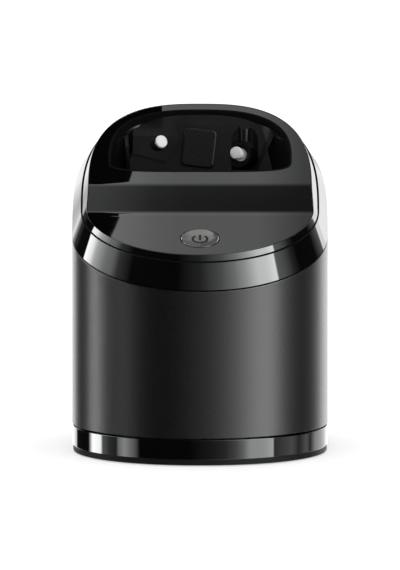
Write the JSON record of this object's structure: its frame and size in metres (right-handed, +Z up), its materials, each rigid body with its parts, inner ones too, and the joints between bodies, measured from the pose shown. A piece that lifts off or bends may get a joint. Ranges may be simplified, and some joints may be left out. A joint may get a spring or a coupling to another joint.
{
  "type": "shaver cleaning station",
  "caption": "Countertop cleaning station that holds an electric shaver upside down over a fluid cartridge, with a sloping start panel and a housing that lifts for refilling.",
  "frame": {"origin": "under the middle of the body, on the surface that the station stands on", "axes": "+Z up, -Y to the front where the start button is, +X to the right as seen from the front"},
  "size_m": [0.13, 0.122, 0.1694],
  "materials": {
    "base_plastic": "fine matt moulding",
    "gloss_black": "high gloss",
    "rubber": "soft matt",
    "polished_steel": "ground and polished",
    "zinc_screw": "zinc plated",
    "spring_steel": "drawn wire",
    "cartridge_plastic": "translucent moulding",
    "cartridge_lid": "satin moulding",
    "apron_finish": "fine-grained satin metallic coat",
    "inner_black": "satin moulding",
    "soft_pad": "soft satin",
    "chassis_plastic": "moulded",
    "bush": "low-friction moulding",
    "pump_plastic": "moulded",
    "motor_can": "plated can",
    "hose": "silicone",
    "switch_black": "moulded",
    "board": "solder resist",
    "contact_metal": "polished plate",
    "button_grey": "smoked translucent"
  },
  "bodies": {
    "base": {"base_plate": "base_plastic", "trim_band": "gloss_black", "rubber_feet": "rubber", "guide_column_left": "polished_steel", "guide_column_right": "polished_steel", "column_screws": "zinc_screw", "lift_spring_left": "spring_steel", "lift_spring_right": "spring_steel", "cartridge_tub": "cartridge_plastic", "cartridge_top": "cartridge_lid", "cartridge_grip": "cartridge_lid"},
    "housing": {"apron": "apron_finish", "collar": "gloss_black", "bezel": "gloss_black", "fascia": "gloss_black", "pocket_rim": "gloss_black", "wash_bowl": "inner_black", "contact_carrier": "inner_black", "centre_pad": "soft_pad", "chassis": "chassis_plastic", "guide_bushes": "bush", "deck_screws": "zinc_screw", "pump_housing": "pump_plastic", "pump_motor": "motor_can", "motor_clip": "chassis_plastic", "intake_pipe": "pump_plastic", "pump_hose": "hose", "start_switch": "switch_black", "circuit_board": "board", "board_screws": "zinc_screw", "release_spring": "spring_steel", "power_socket": "inner_black", "socket_pins": "contact_metal"},
    "start_button": {"start_button": "button_grey", "switch_plunger": "switch_black"},
    "release": {"release_button": "gloss_black", "latch_fork": "chassis_plastic"},
    "contact_left": {"contact_left": "contact_metal"},
    "contact_right": {"contact_right": "contact_metal"},
    "pump_rotor": {"impeller": "pump_plastic", "rotor_shaft": "polished_steel"}
  },
  "joints": [
    {"name": "housing_lift", "type": "slide", "parent": "base", "child": "housing", "axis": [0, 0, 1], "range_m": [0, 0.054], "deforming": ["lift_spring_left", "lift_spring_right"]},
    {"name": "start_press", "type": "slide", "parent": "housing", "child": "start_button", "axis": [0, 0.3486, -0.9373], "range_m": [0, 0.0008], "stiffness_N_per_m": 1500, "springref_m": -0.0004},
    {"name": "release_press", "type": "slide", "parent": "housing", "child": "release", "axis": [0, -1, 0], "range_m": [0, 0.0025], "stiffness_N_per_m": 1000, "springref_m": -0.001, "deforming": ["release_spring"]},
    {"name": "contact_left_press", "type": "slide", "parent": "housing", "child": "contact_left", "axis": [-0.389, 0.8736, -0.2924], "range_m": [0, 0.0015], "stiffness_N_per_m": 800, "springref_m": -0.0005},
    {"name": "contact_right_press", "type": "slide", "parent": "housing", "child": "contact_right", "axis": [0.389, 0.8736, -0.2924], "range_m": [0, 0.0015], "stiffness_N_per_m": 800, "springref_m": -0.0005},
    {"name": "rotor_spin", "type": "hinge", "parent": "housing", "child": "pump_rotor", "pos_m": [-0.026, -0.024, 0.07], "axis": [0, 0, 1], "continuous": true}
  ]
}
